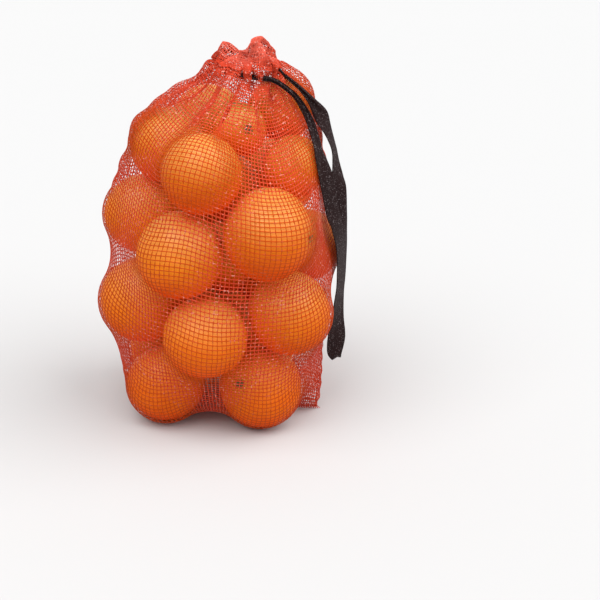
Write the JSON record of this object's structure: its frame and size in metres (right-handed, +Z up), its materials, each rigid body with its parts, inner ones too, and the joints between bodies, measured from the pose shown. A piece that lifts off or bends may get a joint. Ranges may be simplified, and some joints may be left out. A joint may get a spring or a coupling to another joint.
{
  "type": "leno mesh bag of oranges",
  "caption": "Tall woven mesh produce bag, full of oranges and standing upright, gathered at the neck by a flat tape whose free loop hangs down one side.",
  "frame": {"origin": "on the floor, under the middle of the filled bag's box", "axes": "+Z up, -Y out of the front of the bag, +X towards the side where the tape hangs"},
  "size_m": [0.2066, 0.201, 0.3165],
  "materials": {
    "net_cloth": "shiny flat woven polypropylene yarns in an open leno weave",
    "drawstring_tape": "dull black woven plastic tape with small light glints",
    "orange_peel": "waxy dimpled peel with a soft sheen"
  },
  "bodies": {
    "root": {"filled_net": "net_cloth", "neck_tape": "drawstring_tape", "drawstring": "drawstring_tape"}
  },
  "joints": []
}
